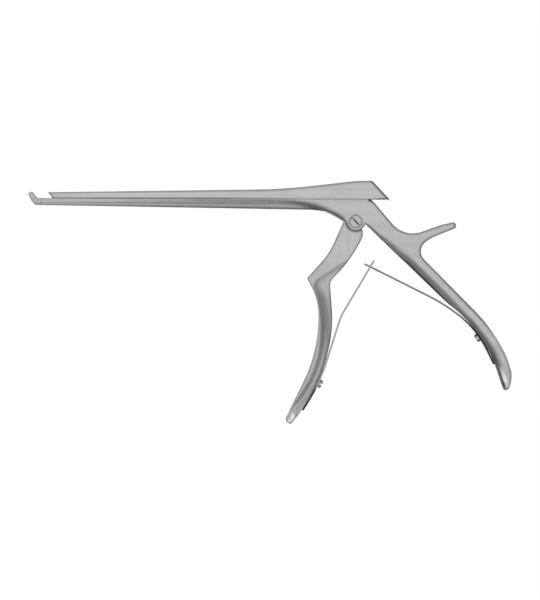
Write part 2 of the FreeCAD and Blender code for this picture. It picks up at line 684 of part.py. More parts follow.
crown_straight.Profile = crown_profile(fixed, "crown_straight_profile", "sizes.crown_x", "sizes.crown_z", "")
crown_straight.Type = "Length"
crown_straight.setExpression("Length", "sizes.crown_length")
doc.recompute()
check("crown straight", fixed)
low_profile = crown_profile(fixed, "crown_low_profile", "sizes.crown_x", "sizes.crown_z", "sizes.crown_low_bend")
crown_low = crown_bend(fixed, "crown_low", low_profile, "sizes.crown_low_angle", False)
check("crown low", fixed)
crown_top_x = "sizes.crown_x - sizes.crown_length * cos(sizes.crown_turn * 1 deg)"
crown_top_z = "sizes.crown_z + sizes.crown_length * sin(sizes.crown_turn * 1 deg)"
high_profile = crown_profile(fixed, "crown_high_profile", crown_top_x, crown_top_z, "sizes.crown_high_bend")
crown_high = crown_bend(fixed, "crown_high", high_profile, "sizes.crown_high_angle", True)
check("crown high", fixed)
mirrored(fixed, "crown_pair", [crown_straight, crown_low, crown_high])
check("crown", fixed)
for side in sides:
    finger_cut(
        fixed, side, "rear_spoon", "sizes.rear_spoon_x", "sizes.rear_spoon_z", "sizes.rear_spoon_turn",
        "sizes.rear_spoon_length", "sizes.spoon_radius", "sizes.spoon_depth",
    )
    check("rear spoon", fixed)

# Sliding shaft with its cup-shaped cutting end
slide = new_body("sliding_shaft")
slide_sketch = new_sketch(slide, "slide_outline")
draw(slide_sketch, [
    "slide_tip_low", "slide_tip_top", "slide_swell", "slide_crown", "slide_brow", "slide_back", "slide_back_low",
])
both_ways(slide, "Pad", "slide_pad", slide_sketch, "sizes.body_width")
flared = cut_flare(slide, "slide")
check("slide flare", slide)


def on_slide_top(edge, middle):
    """Long edges between the top and the sides of the slide."""
    start = edge.valueAt(edge.FirstParameter)
    upright = abs(start.z - edge.valueAt(edge.LastParameter).z) > 0.9 * edge.Length and start.x < 0
    return not upright and middle.z > plane_z + 1.5 and abs(middle.y) > 1.5


round_edges(slide, "slide_round", flared, on_slide_top, "sizes.top_round")
check("slide round", slide)
notch_sketch = new_sketch(slide, "notch_outline")
ball_x = "sizes.drive_arm * sin(sizes.drive_angle * 1 deg)"
ball_z = "sizes.drive_arm * cos(sizes.drive_angle * 1 deg)"
polygon(notch_sketch, [
    (ball_x + " - sizes.drive_ball_radius - sizes.drive_clearance", "sizes.slide_plane_z - 1"),
    (ball_x + " + sizes.drive_ball_radius + sizes.drive_clearance", "sizes.slide_plane_z - 1"),
    (ball_x + " + sizes.drive_ball_radius + sizes.drive_clearance", "sizes.drive_arm + sizes.drive_ball_radius + 0.3"),
    (ball_x + " - sizes.drive_ball_radius - sizes.drive_clearance", "sizes.drive_arm + sizes.drive_ball_radius + 0.3"),
])
both_ways(slide, "Pocket", "drive_notch", notch_sketch, "sizes.tongue_width + 2 * sizes.tongue_clearance")
check("slide notch", slide)
t_rail(slide, "Pad", "rear_key", "sizes.rear_rail_front_x", "sizes.rear_rail_length", "")
t_rail(slide, "Pad", "front_key", "sizes.front_rail_front_x", "sizes.front_rail_length", "")
check("slide keys", slide)
cup_sketch = new_sketch(slide, "cup_outline", "YZ_Plane")
cup_sketch.setExpression("AttachmentOffset.Base.z", "sizes.slide_tip_low_x + sizes.cup_depth - 2")
polygon(cup_sketch, [
    ("-sizes.cup_width / 2", "sizes.slide_plane_z + sizes.cup_floor"),
    ("sizes.cup_width / 2", "sizes.slide_plane_z + sizes.cup_floor"),
    ("sizes.cup_width / 2", "sizes.slide_plane_z + sizes.cup_floor + sizes.cup_height / 2"),
    ("sizes.cup_width / 4", "sizes.slide_plane_z + sizes.cup_floor + sizes.cup_height"),
    ("-sizes.cup_width / 4", "sizes.slide_plane_z + sizes.cup_floor + sizes.cup_height"),
    ("-sizes.cup_width / 2", "sizes.slide_plane_z + sizes.cup_floor + sizes.cup_height / 2"),
])
cup = slide.newObject("PartDesign::Pocket", "cup")
cup.Profile = cup_sketch
cup.Type = "Length"
cup.setExpression("Length", "sizes.cup_depth + 4")
doc.recompute()
check("slide cup", slide)
if cup.Shape.BoundBox.XMin > number("slide_tip_top_x") + 0.5:
    print("cup went the wrong way")

# Front handle with the tongue that drives the slide
handle = new_body("front_handle")
handle_sketch = new_sketch(handle, "handle_outline")
draw(handle_sketch, [
    "shoulder", "shin", "elbow", "fingers", "grip", "toe_front", "toe_back", "grip_back", "back_high", "knee",
    "arm_back", "heel", "heel_top", "arm_top",
])
handle_pad = both_ways(handle, "Pad", "handle_pad", handle_sketch, "sizes.body_width")


def on_handle_edge(edge, middle):
    """Side edges of the front handle below its shoulders."""
    return abs(abs(middle.y) - half_body) < 0.01 and math.hypot(middle.x, middle.z) > number("ear_radius") + 1.0


ear_cut_sketch = new_sketch(handle, "ear_cut_outline")
circle(ear_cut_sketch, "0", "0", "sizes.ear_radius + sizes.ear_gap")
ear_cut = both_ways(handle, "Pocket", "ear_cut", ear_cut_sketch, "2 * sizes.body_width")
check("ear cut", handle)
bevel_edges(handle, "handle_bevel", ear_cut, on_handle_edge, "sizes.edge_bevel")
check("handle bevel", handle)
ring_x = "sizes.hollow_ring_x + sizes.hollow_ring_radius * cos(sizes.%s * 1 deg)"
ring_z = "sizes.hollow_ring_z + sizes.hollow_ring_radius * sin(sizes.%s * 1 deg)"
for side in sides:
    finger_cut(
        handle, side, "arm_hollow", ring_x % "hollow_high_angle", ring_z % "hollow_high_angle",
        "sizes.hollow_arm_turn", "sizes.hollow_arm_length", "sizes.hollow_radius", "sizes.hollow_depth",
    )
    check("arm hollow", handle)
    ring_cut(handle, side, "grip_hollow")
    check("grip hollow", handle)
    ball_cut(
        handle, side, "hollow_end", ring_x % "hollow_low_angle", ring_z % "hollow_low_angle",
        "sizes.hollow_radius", "sizes.hollow_depth",
    )
    check("hollow end", handle)
    finger_cut(
        handle, side, "front_spoon", "sizes.front_spoon_x", "sizes.front_spoon_z", "sizes.front_spoon_turn",
        "sizes.front_spoon_length", "sizes.spoon_radius", "sizes.spoon_depth",
    )
    check("front spoon", handle)
hub_sketch = new_sketch(handle, "hub_outline")
circle(hub_sketch, "0", "0", "sizes.hub_radius")
both_ways(handle, "Pad", "hub_pad", hub_sketch, "sizes.tongue_width")
throat_sketch = new_sketch(handle, "throat_outline")
polygon(throat_sketch, [
    ("-sizes.hub_radius + 0.3", "-1"),
    ("sizes.shoulder_x + 0.6", "-2 * sizes.hub_radius"),
    ("sizes.heel_x - 0.9", "-1.6 * sizes.hub_radius"),
    ("sizes.heel_top_x - 0.3", "sizes.heel_top_z + 0.9"),
])
both_ways(handle, "Pad", "throat_pad", throat_sketch, "sizes.tongue_width")
neck_sketch = new_sketch(handle, "neck_outline")
along_x = "sin(sizes.drive_angle * 1 deg)"
along_z = "cos(sizes.drive_angle * 1 deg)"
polygon(neck_sketch, [
    ("-sizes.drive_root_half_width * " + along_z, "sizes.drive_root_half_width * " + along_x),
    ("sizes.drive_root_half_width * " + along_z, "-sizes.drive_root_half_width * " + along_x),
    (ball_x + " + sizes.drive_neck_half_width * " + along_z, ball_z + " - sizes.drive_neck_half_width * " + along_x),
    (ball_x + " - sizes.drive_neck_half_width * " + along_z, ball_z + " + sizes.drive_neck_half_width * " + along_x),
])
both_ways(handle, "Pad", "neck_pad", neck_sketch, "sizes.tongue_width")
ball_sketch = new_sketch(handle, "drive_end_outline")
circle(ball_sketch, ball_x, ball_z, "sizes.drive_ball_radius")
both_ways(handle, "Pad", "drive_end_pad", ball_sketch, "sizes.tongue_width")
check("tongue", handle)
bore_sketch = new_sketch(handle, "bore_outline")
circle(bore_sketch, "0", "0", "sizes.screw_shank_radius + sizes.running_clearance")
both_ways(handle, "Pocket", "pivot_bore", bore_sketch, "2 * sizes.body_width")
check("bore", handle)
screw_hole(handle, "front_screw_hole", "front_seat", "front_seat_turn")
check("front screw hole", handle)


def turned_screw(label, corners, slot_width, slot_depth, slot_floor, slot_length):
    """Turn a slotted screw about Z from half of its outline."""
    body = doc.addObject("PartDesign::Body", label)
    body.Label = label
    sketch = new_sketch(body, label + "_profile")
    polygon(sketch, corners)
    turn = body.newObject("PartDesign::Revolution", label + "_turn")
    turn.Profile = sketch
    turn.ReferenceAxis = (sketch, ["V_Axis"])
    turn.Angle = 360
    sketch.Visibility = False
    doc.recompute()
    slot = new_sketch(body, label + "_slot_outline")
    polygon(slot, [
        ("-" + slot_width + " / 2", slot_floor),
        (slot_width + " / 2", slot_floor),
        (slot_width + " / 2", slot_floor + " + 2 * " + slot_depth),
        ("-" + slot_width + " / 2", slot_floor + " + 2 * " + slot_depth),
    ])
    both_ways(body, "Pocket", label + "_slot", slot, slot_length)
    check(label, body)
    return body


# Pivot screw: shoulder through the near ear and the handle, thread in the far ear
head_top = "sizes.screw_head_proud"
head_foot = "sizes.screw_head_proud - sizes.screw_head_height"
shank_foot = "-(sizes.body_width / 2 + sizes.tongue_width / 2 + sizes.tongue_clearance)"
thread_foot = "-sizes.body_width"
pivot = turned_screw("pivot_screw", [
    ("0", head_top),
    ("sizes.screw_head_radius - 0.45", head_top),
    ("sizes.screw_head_radius", head_top + " - 0.3"),
    ("sizes.screw_head_radius", head_foot),
    ("sizes.screw_shank_radius", head_foot),
    ("sizes.screw_shank_radius", shank_foot),
    ("sizes.screw_thread_radius", shank_foot),
    ("sizes.screw_thread_radius", thread_foot),
    ("0", thread_foot),
], "sizes.screw_slot_width", "sizes.screw_slot_depth", head_top + " - sizes.screw_slot_depth", "sizes.body_width")
pivot.Placement = FreeCAD.Placement(Vector(0, 0, 0), FreeCAD.Rotation(Vector(-1, 0, 1), Vector(1, 0, 1), Vector(0, -1, 0)))
pivot.setExpression("Placement.Base.y", "-sizes.body_width")
doc.recompute()


def spring_screw(label, seat, turn):
    """Small cheese-head screw that holds a leaf on its handle."""
    foot = "sizes.leaf_thickness + 0.14"
    top = foot + " + sizes.small_head_height"
    body = turned_screw(label, [
        ("0", top),
        ("sizes.small_head_radius - sizes.small_head_round", top),
        ("sizes.small_head_radius", top + " - sizes.small_head_round"),
        ("sizes.small_head_radius", foot),
        ("sizes.small_shank_radius - 0.02", foot),
        ("sizes.small_shank_radius - 0.02", "-sizes.small_shank_length"),
        ("0", "-sizes.small_shank_length - 0.6"),
    ], "sizes.small_slot_width", "sizes.small_slot_depth", top + " - sizes.small_slot_depth", "sizes.body_width")
    lean = math.radians(number(turn))
    out = Vector(math.cos(lean), 0, math.sin(lean))
    body.Placement = FreeCAD.Placement(Vector(0, 0, 0), FreeCAD.Rotation(Vector(0, -1, 0).cross(out), Vector(0, -1, 0), out))
    body.setExpression("Placement.Base.x", "sizes." + seat + "_x")
    body.setExpression("Placement.Base.y", "-sizes.body_width / 2")
    body.setExpression("Placement.Base.z", "sizes." + seat + "_z")
    doc.recompute()
    return body


front_screw = spring_screw("front_spring_screw", "front_seat", "front_seat_turn")
rear_screw = spring_screw("rear_spring_screw", "rear_seat", "rear_seat_turn")


def leaf(label, names, seat, turn):
    """Sweep a flat leaf along its bent centre line and bore it for its screw."""
    body = new_body(label)
    path = new_sketch(body, label + "_path")
    draw(path, names, closed=False)
    doc.recompute()
    section = body.newObject("Sketcher::SketchObject", label + "_section")
    section.AttachmentSupport = (path, ["Edge1"])
    section.MapMode = "NormalToEdge"
    doc.recompute()
    normal = section.Placement.Rotation.multVec(Vector(1, 0, 0))
    across = abs(normal.y) > 0.5
    wide = "sizes.leaf_width / 2"
    thin = "sizes.leaf_thickness / 2"
    first, second = (wide, thin) if across else (thin, wide)
    polygon(section, [
        ("-" + first, "-" + second), (first, "-" + second), (first, second), ("-" + first, second),
    ])
    pipe = body.newObject("PartDesign::AdditivePipe", label + "_sweep")
    pipe.Profile = section
    pipe.Spine = path
    pipe.Transition = "Round corner"
    doc.recompute()
    for item in (path, section):
        item.Visibility = False
    bore = new_sketch(body, label + "_bore_profile")
    bore.setExpression("AttachmentOffset.Base.x", "sizes." + seat + "_x")
    bore.setExpression("AttachmentOffset.Base.y", "sizes." + seat + "_z")
    bore.AttachmentOffset = FreeCAD.Placement(bore.AttachmentOffset.Base, FreeCAD.Rotation(Vector(0, 0, 1), 1))
    bore.setExpression("AttachmentOffset.Rotation.Angle", "sizes." + turn)
    polygon(bore, [
        ("-1", "0"), ("3", "0"), ("3", "sizes.small_shank_radius + 0.05"), ("-1", "sizes.small_shank_radius + 0.05"),
    ])
    hole = body.newObject("PartDesign::Groove", label + "_bore")
    hole.Profile = bore
    hole.ReferenceAxis = (bore, ["H_Axis"])
    hole.Angle = 360
    bore.Visibility = False
    doc.recompute()
    check(label, body)
    return body


def tip_frame(body, name, tip, bend):
    """Sketch on the middle plane whose X axis runs from a leaf's tip down the leaf."""
    sketch = new_sketch(body, name)
    run = point(bend) - point(tip)
    turn = math.degrees(math.atan2(run.y, run.x))
    sketch.setExpression("AttachmentOffset.Base.x", "sizes." + tip + "_x")
    sketch.setExpression("AttachmentOffset.Base.y", "sizes." + tip + "_z")
    sketch.AttachmentOffset = FreeCAD.Placement(sketch.AttachmentOffset.Base, FreeCAD.Rotation(Vector(0, 0, 1), turn))
    return sketch


front_leaf = leaf(
    "front_spring", ["front_leaf_tip", "front_leaf_bend", "front_leaf_seat", "front_leaf_end"],
    "front_seat", "front_seat_turn",
)
window_sketch = tip_frame(front_leaf, "window_outline", "front_leaf_tip", "front_leaf_bend")
polygon(window_sketch, [
    ("sizes.window_margin", "-2"),
    ("sizes.window_margin + sizes.window_length", "-2"),
    ("sizes.window_margin + sizes.window_length", "2"),
    ("sizes.window_margin", "2"),
])
both_ways(front_leaf, "Pocket", "window", window_sketch, "sizes.window_width")
check("window", front_leaf)
rear_leaf = leaf(
    "rear_spring", ["rear_leaf_tip", "rear_leaf_bend", "rear_leaf_seat", "rear_leaf_end"],
    "rear_seat", "rear_seat_turn",
)
prong_sketch = new_sketch(rear_leaf, "prong_outline", "XY_Plane")
polygon(prong_sketch, [
    ("sizes.rear_leaf_tip_x - 3", "sizes.prong_width / 2"),
    ("sizes.rear_leaf_tip_x + sizes.prong_length", "sizes.prong_width / 2"),
    ("sizes.rear_leaf_tip_x + sizes.prong_length + 2", "sizes.leaf_width"),
    ("sizes.rear_leaf_tip_x - 3", "sizes.leaf_width"),
])
prong_cut = both_ways(rear_leaf, "Pocket", "prong_cut", prong_sketch, "200")
mirrored(rear_leaf, "prong_cut_pair", [prong_cut])
check("prong", rear_leaf)

# Write the pieces
doc.recompute()
pieces = [fixed, slide, handle, pivot, front_leaf, rear_leaf, front_screw, rear_screw]
for item in doc.Objects:
    if "Invalid" in item.State or "Error" in item.State:
        raise RuntimeError("failed: " + item.Name)
for piece in pieces:
    shape = piece.Shape
    if shape.isNull() or not shape.isValid() or len(shape.Solids) != 1:
        raise RuntimeError("bad shape: " + piece.Label)
    shape.exportStep(os.path.join("parts", piece.Label + ".step"))
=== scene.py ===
import math
import bpy
from mathutils import Matrix, Vector


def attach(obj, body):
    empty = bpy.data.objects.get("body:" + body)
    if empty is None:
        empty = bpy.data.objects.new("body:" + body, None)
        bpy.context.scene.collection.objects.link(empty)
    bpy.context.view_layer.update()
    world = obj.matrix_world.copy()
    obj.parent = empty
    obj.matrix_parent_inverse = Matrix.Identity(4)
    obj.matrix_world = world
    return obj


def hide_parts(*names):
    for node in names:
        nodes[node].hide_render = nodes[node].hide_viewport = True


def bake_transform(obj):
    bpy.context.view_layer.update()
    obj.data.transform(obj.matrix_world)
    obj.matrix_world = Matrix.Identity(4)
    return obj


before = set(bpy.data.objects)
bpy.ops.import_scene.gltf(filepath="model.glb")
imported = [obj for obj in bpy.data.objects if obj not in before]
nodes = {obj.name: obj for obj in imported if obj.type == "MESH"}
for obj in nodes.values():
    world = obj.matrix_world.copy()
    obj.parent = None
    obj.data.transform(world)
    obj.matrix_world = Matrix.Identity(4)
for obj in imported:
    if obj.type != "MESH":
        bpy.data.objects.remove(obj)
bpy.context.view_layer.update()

# A bone punch in satin steel, seen square on from its near side in a white tent.
# Everything is in metres, X along the shafts, Z up and -Y towards the camera.

mm = 0.001
origin = Vector((0.0, 0.0, 0.0))
down = Vector((0.0, 0.0, -1.0))
flank_axes = (1.0, 0.0, 1.0)
quarter_turn = math.radians(90.0)

# Camera
view_centre_x = -0.0470
view_centre_z = -0.0433
view_height = 0.330
camera_distance = 1.60
focus_y = -0.0080
picture_roll = math.radians(0.245)
sensor_height = 36.0
near_clip = 0.05
far_clip = 20.0

# Planes and lines of the tool that several finishes follow
middle_plane_y = -5.0 * mm
slide_plane_z = 12.3 * mm
slide_rear_top = Vector((8.9, 0.0, 22.3)) * mm
slide_rear_out = Vector((0.737, 0.0, 0.677))
handle_turn_degrees = -43.7
handle_turn = math.radians(handle_turn_degrees)

# Ovals on the flanks: X and Z of the centre, turn in degrees, length and width, in millimetres
gap_corner = (8.1, 11.8, -15.0, 2.5, 1.4)
hook_flank = (-177.5, 12.0, 60.0, 11.0, 7.0)
crown_start = (19.5, -12.0, handle_turn_degrees, 15.0, 7.0)
tail_spoon = (77.5, -73.5, -65.0, 24.0, 9.0)
tail_spoon_top = (74.2, -65.0, -62.0, 12.0, 4.6)
tail_glint = (81.5, -84.6, -66.0, 8.0, 1.5)
tail_dip = (81.2, -89.2, -66.0, 3.0, 1.4)
pivot_ring = (0.0, 0.0, 0.0, 4.4, 4.4)
pivot_head = (0.0, 0.0, 0.0, 4.2, 4.2)
pivot_slot = (0.0, 0.0, -46.5, 4.4, 0.75)
slide_lip = (14.3, 12.1, 0.0, 4.6, 0.9)
grip_glint = (-34.6, -106.4, 60.0, 6.0, 1.7)

# Brightness of the ovals that show, against the steel round them: painted shade or highlight
gap_corner_shade = 0.04
hook_flank_shade = 0.92
tail_glint_tone = 1.75
tail_dip_shade = 0.62
pivot_slot_shade = 0.10
slide_lip_shade = 0.25
grip_glint_tone = 1.6

# Spring leaves
front_leaf_root = Vector((-20.0, -5.0, -90.8)) * mm
front_leaf_tip = Vector((10.28, -5.0, -21.27)) * mm
rear_leaf_root = Vector((66.9, -5.0, -58.74)) * mm
rear_leaf_tip = Vector((4.98, -5.0, -23.24)) * mm
leaf_steps = 24
merge_distance = 0.002 * mm
flat_angle = math.radians(0.5)
smooth_angle = math.radians(30.0)


def place_camera():
    """A long lens square on to the cheek, rolled a little, as the tool lies in the picture."""
    data = bpy.data.cameras.new("square_on")
    data.sensor_fit = "VERTICAL"
    data.sensor_height = sensor_height
    data.lens = sensor_height * camera_distance / view_height
    data.clip_start = near_clip
    data.clip_end = far_clip
    camera = bpy.data.objects.new("square_on", data)
    bpy.context.collection.objects.link(camera)
    place = Matrix.Translation((view_centre_x, focus_y - camera_distance, view_centre_z))
    turn = Matrix.Rotation(quarter_turn, 4, "X")
    roll = Matrix.Rotation(picture_roll, 4, "Z")
    camera.matrix_world = place @ turn @ roll
    bpy.context.scene.camera = camera


# Small tools for node trees

def add(tree, kind, inputs=None, **settings):
    """A new shader node, its inputs set to values or joined to other nodes' outputs."""
    made = tree.nodes.new("ShaderNode" + kind)
    for name, value in settings.items():
        setattr(made, name, value)
    for name, value in (inputs or {}).items():
        if isinstance(value, bpy.types.NodeSocket):
            tree.links.new(value, made.inputs[name])
        else:
            made.inputs[name].default_value = value
    return made


def number(tree, kind, *values):
    """A number worked out from one or two others."""
    return add(tree, "Math", dict(enumerate(values)), operation=kind).outputs["Value"]


def product(tree, first, *others):
    """Numbers multiplied."""
    for other in others:
        first = number(tree, "MULTIPLY", first, other)
    return first


def total(tree, first, *others):
    """Numbers added up."""
    for other in others:
        first = number(tree, "ADD", first, other)
    return first


def vector(tree, kind, *values):
    """A vector worked out from one or two others."""
    return add(tree, "VectorMath", dict(enumerate(values)), operation=kind).outputs["Vector"]


def measure(tree, kind, *values):
    """A number worked out from one or two vectors."""
    return add(tree, "VectorMath", dict(enumerate(values)), operation=kind).outputs["Value"]


def axes(tree, place):
    """The X, Y and Z of a place."""
    return add(tree, "SeparateXYZ", {"Vector": place}).outputs


def turned(tree, place, turn):
    """A place turned about Y, so that a pattern along X follows a leaning part."""
    made = add(tree, "Mapping", {"Vector": place, "Rotation": (0.0, turn, 0.0)})
    return made.outputs["Vector"]


def ramp(tree, value, span, levels, smooth=False):
    """Carries a span of a value over to two levels, and holds them beyond its ends."""
    made = add(tree, "MapRange", {
        "Value": value, "From Min": span[0], "From Max": span[1],
        "To Min": levels[0], "To Max": levels[1],
    })
    if smooth:
        made.interpolation_type = "SMOOTHSTEP"
    return made.outputs["Result"]


def new_group(name, takes, gives):
    """An empty shader group with named inputs and outputs."""
    group = bpy.data.node_groups.new(name, "ShaderNodeTree")
    for label, kind, value in takes:
        socket = group.interface.new_socket(
            name=label, in_out="INPUT", socket_type="NodeSocket" + kind)
        socket.default_value = value
    for label, kind in gives:
        group.interface.new_socket(name=label, in_out="OUTPUT", socket_type="NodeSocket" + kind)
    entry = group.nodes.new("NodeGroupInput")
    leave = group.nodes.new("NodeGroupOutput")
    return group, entry.outputs, leave.inputs


def closed(group, out, results):
    """A group with its results joined to its outputs."""
    for label, value in results.items():
        group.links.new(value, out[label])
    return group


def placed(tree, group, inputs):
    """The outputs of a group placed in a material with its own values."""
    return add(tree, "Group", inputs, node_tree=group).outputs


# Effects that several finishes share

line_detail = 5.0
line_roughness = 0.62
cloud_detail = 3.0
cloud_roughness = 0.5
noise_span = (0.30, 0.70)


def drawn_lines(tree, place, fine):
    """Noise drawn out into lines; fine is how fast it changes along each axis, per metre."""
    return add(tree, "TexNoise", {
        "Vector": vector(tree, "MULTIPLY", place, fine),
        "Scale": 1.0, "Detail": line_detail, "Roughness": line_roughness,
    }).outputs["Fac"]


def make_ground_grain():
    """Fine grinding lines, and broad clouds where the satin is a little brighter or duller."""
    group, given, out = new_group(
        "ground_grain",
        [("Place", "Vector", origin), ("Fine", "Vector", (1.0, 1.0, 1.0)),
         ("Broad", "Float", 60.0)],
        [("Grain", "Float"), ("Cloud", "Float")],
    )
    lines = drawn_lines(group, given["Place"], given["Fine"])
    clouds = add(group, "TexNoise", {
        "Vector": given["Place"], "Scale": given["Broad"],
        "Detail": cloud_detail, "Roughness": cloud_roughness,
    }).outputs["Fac"]
    return closed(group, out, {"Grain": lines, "Cloud": clouds})


def make_soft_streaks():
    """Wider soft streaks along the grain, as a wheel leaves them."""
    group, given, out = new_group(
        "soft_streaks",
        [("Place", "Vector", origin), ("Fine", "Vector", (1.0, 1.0, 1.0)),
         ("Darkest", "Float", 0.94), ("Brightest", "Float", 1.06)],
        [("Shade", "Float")],
    )
    bands = drawn_lines(group, given["Place"], given["Fine"])
    shade = ramp(group, bands, noise_span, (given["Darkest"], given["Brightest"]))
    return closed(group, out, {"Shade": shade})


edge_samples = 6
edge_agreement = (0.998, 0.90)


def make_soft_edges():
    """Rounds every corner a little in the shading, and marks where the corners are."""
    group, given, out = new_group(
        "soft_edges", [("Radius", "Float", 0.3 * mm)], [("Edge", "Float"), ("Normal", "Vector")],
    )
    rounded = add(group, "Bevel", {"Radius": given["Radius"]}, samples=edge_samples)
    rounded = rounded.outputs["Normal"]
    flat = add(group, "NewGeometry").outputs["Normal"]
    same = measure(group, "DOT_PRODUCT", rounded, flat)
    edge = ramp(group, same, edge_agreement, (0.0, 1.0))
    return closed(group, out, {"Edge": edge, "Normal": rounded})


crevice_samples = 12
crevice_openness = (0.25, 0.80)


def make_crevices():
    """Nothing in slots, seams and tight corners, where no light gets in, and one in the open."""
    group, given, out = new_group(
        "crevices", [("Reach", "Float", 1.2 * mm)], [("Open", "Float")],
    )
    around = add(group, "AmbientOcclusion", {"Distance": given["Reach"]}, samples=crevice_samples)
    clear = ramp(group, around.outputs["AO"], crevice_openness, (0.0, 1.0), True)
    return closed(group, out, {"Open": clear})


def make_leaned_normal():
    """Leans the shading of a flank one way, as the polisher's wheel rounded it off."""
    group, given, out = new_group(
        "leaned_normal",
        [("Way", "Vector", (0.0, 0.0, 1.0)), ("Amount", "Float", 0.0),
         ("Normal", "Vector", origin)],
        [("Normal", "Vector")],
    )
    way = add(group, "VectorTransform", {"Vector": given["Way"]},
              vector_type="VECTOR", convert_from="OBJECT", convert_to="WORLD").outputs["Vector"]
    lean = add(group, "VectorMath", {0: way, "Scale": given["Amount"]}, operation="SCALE")
    both = vector(group, "ADD", given["Normal"], lean.outputs["Vector"])
    return closed(group, out, {"Normal": vector(group, "NORMALIZE", both)})


def make_flank_facing():
    """Straight out of the flank that a place belongs to."""
    group, given, out = new_group(
        "flank_facing", [("Place", "Vector", origin)], [("Way", "Vector")],
    )
    depth = axes(group, given["Place"])["Y"]
    far_side = number(group, "GREATER_THAN", depth, middle_plane_y)
    out_of_it = ramp(group, far_side, (0.0, 1.0), (-1.0, 1.0))
    way = add(group, "CombineXYZ", {"Y": out_of_it}).outputs["Vector"]
    return closed(group, out, {"Way": way})


def make_round_bend():
    """How far a place on a flank is from the centre of a bend, and the way out from there."""
    group, given, out = new_group(
        "round_bend", [("Place", "Vector", origin), ("Centre", "Vector", origin)],
        [("Reach", "Float"), ("Way", "Vector")],
    )
    arm = vector(group, "SUBTRACT", given["Place"], given["Centre"])
    arm = vector(group, "MULTIPLY", arm, flank_axes)
    return closed(group, out, {
        "Reach": measure(group, "LENGTH", arm), "Way": vector(group, "NORMALIZE", arm),
    })


oval_rim = (0.25, 1.0)


def make_oval_spot():
    """One in the middle of an oval on a flank and nothing outside; its ways are per radius."""
    group, given, out = new_group(
        "oval_spot",
        [("Place", "Vector", origin), ("Centre", "Vector", origin),
         ("Along", "Vector", (1.0, 0.0, 0.0)), ("Across", "Vector", (0.0, 0.0, 1.0))],
        [("Spot", "Float")],
    )
    off = vector(group, "SUBTRACT", given["Place"], given["Centre"])
    along = measure(group, "DOT_PRODUCT", off, given["Along"])
    across = measure(group, "DOT_PRODUCT", off, given["Across"])
    squares = total(group, product(group, along, along), product(group, across, across))
    reach = number(group, "SQRT", squares)
    return closed(group, out, {"Spot": ramp(group, reach, oval_rim, (1.0, 0.0), True)})


# Painted shade along the line where the two shafts meet
seam_half_width = 0.32 * mm
seam_front_x = (-172.0 * mm, -120.0 * mm)
seam_shade_tones = (0.75, 0.58)
faint_band = (0.8 * mm, 1.6 * mm)
faint_grows_x = (-80.0 * mm, -20.0 * mm)
faint_most = 0.80
overhang_x = (10.0 * mm, 14.0 * mm)
shaft_widens_x = (-170.0 * mm, -55.0 * mm)
shaft_edge_radii = (1.0 * mm, 2.4 * mm)


def make_shaft_seam():
    """The painted shade of the line where the two shafts meet, where it is faint, and how round
    their edges are.

    It is faint towards the rear, but not on the overhang. The edges are sharper on the slim
    shafts in front than on the body.
    """
    group, given, out = new_group(
        "shaft_seam", [("Place", "Vector", origin)],
        [("Shade", "Float"), ("Faint", "Float"), ("Radius", "Float")],
    )
    place = axes(group, given["Place"])
    off = number(group, "ABSOLUTE", number(group, "SUBTRACT", place["Z"], slide_plane_z))
    darkest = ramp(group, place["X"], seam_front_x, seam_shade_tones)
    shade = ramp(group, off, (0.0, seam_half_width), (darkest, 1.0), True)
    near = ramp(group, off, faint_band, (1.0, 0.0), True)
    rear = ramp(group, place["X"], faint_grows_x, (0.0, faint_most))
    held = ramp(group, place["X"], overhang_x, (1.0, 0.0))
    radius = ramp(group, place["X"], shaft_widens_x, shaft_edge_radii)
    faint = product(group, near, rear, held)
    return closed(group, out, {"Shade": shade, "Faint": faint, "Radius": radius})


cloud_tones = (0.96, 1.04)
grain_tones = (0.92, 1.08)
# Painted shade in slots, seams and tight corners
crevice_shade = 0.10
gloss_span = (0.25, 0.75)
grain_gloss = (0.85, 1.15)
cloud_gloss = (-0.03, 0.03)
edge_gloss = 0.06


def make_steel_tone():
    """Tone and roughness of a ground steel, with painted shade in crevices, and edges painted with
    shade or drawn lighter. Even hides what edges and crevices do to it.
    """
    group, given, out = new_group(
        "steel_tone",
        [("Grain", "Float", 0.5), ("Cloud", "Float", 0.5), ("Edge", "Float", 0.0),
         ("Open", "Float", 1.0), ("Even", "Float", 0.0), ("Shade", "Float", 1.0),
         ("Tone", "Float", 0.5), ("Edge Tone", "Float", 0.0), ("Rough", "Float", 0.3)],
        [("Colour", "Float"), ("Roughness", "Float")],
    )
    edge = product(group, given["Edge"], number(group, "SUBTRACT", 1.0, given["Even"]))
    clear = number(group, "MAXIMUM", given["Open"], given["Even"])
    level = product(
        group, given["Tone"], ramp(group, given["Cloud"], noise_span, cloud_tones),
        ramp(group, given["Grain"], noise_span, grain_tones),
    )
    level = total(group, level, product(group, given["Tone"], given["Edge Tone"], edge))
    level = product(
        group, level, ramp(group, clear, (0.0, 1.0), (crevice_shade, 1.0)), given["Shade"],
    )
    gloss = product(group, given["Rough"], ramp(group, given["Grain"], gloss_span, grain_gloss))
    gloss = total(
        group, gloss, ramp(group, given["Cloud"], noise_span, cloud_gloss),
        product(group, edge, -edge_gloss),
    )
    return closed(group, out, {"Colour": level, "Roughness": gloss})


ground_grain = make_ground_grain()
soft_streaks = make_soft_streaks()
soft_edges = make_soft_edges()
crevices = make_crevices()
leaned_normal = make_leaned_normal()
flank_facing = make_flank_facing()
round_bend = make_round_bend()
oval_spot = make_oval_spot()
shaft_seam = make_shaft_seam()
steel_tone = make_steel_tone()


# Finishes

